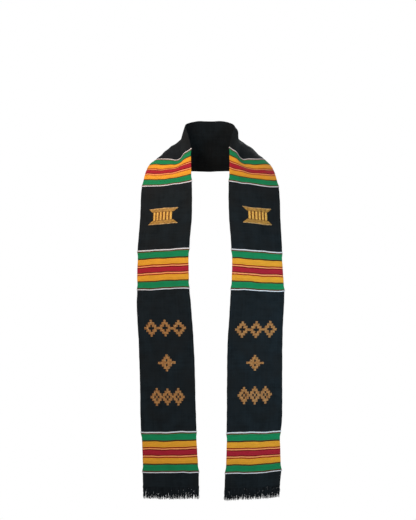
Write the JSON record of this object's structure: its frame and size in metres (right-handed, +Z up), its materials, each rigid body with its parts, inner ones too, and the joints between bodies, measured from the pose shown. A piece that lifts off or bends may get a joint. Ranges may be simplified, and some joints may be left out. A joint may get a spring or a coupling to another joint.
{
  "type": "graduation stole",
  "caption": "Long woven strip worn round the neck, with crosswise striped bands, gold figures and a short fringe at both ends, in its worn form.",
  "frame": {"origin": "where the strip rests on the nape: the middle of its length and width, on the side that lies against the neck", "axes": "+Z up as worn, the chest towards -Y, +X to the viewer's right"},
  "size_m": [0.3208, 0.218, 0.8292],
  "materials": {
    "ground_weave": "matte black woven acrylic and cotton, fine crosswise ribs",
    "striped_weave": "weft-faced crosswise stripes of white, green, yellow and crimson yarn",
    "gold_weft": "gold-yellow extra weft, soft sheen",
    "fringe_yarn": "matte black cut yarn"
  },
  "bodies": {
    "root": {"nape_strip": "ground_weave", "left_neck_band": "striped_weave", "left_chest_strip": "ground_weave", "left_stool_motif": "gold_weft", "left_chest_band": "striped_weave", "left_lower_strip": "ground_weave", "left_upper_row": "gold_weft", "left_middle_row": "gold_weft", "left_lower_row": "gold_weft", "left_hem_band": "striped_weave", "left_hem_strip": "ground_weave", "left_fringe": "fringe_yarn", "right_neck_band": "striped_weave", "right_chest_strip": "ground_weave", "right_stool_motif": "gold_weft", "right_chest_band": "striped_weave", "right_lower_strip": "ground_weave", "right_upper_row": "gold_weft", "right_middle_row": "gold_weft", "right_lower_row": "gold_weft", "right_hem_band": "striped_weave", "right_hem_strip": "ground_weave", "right_fringe": "fringe_yarn"}
  },
  "joints": []
}
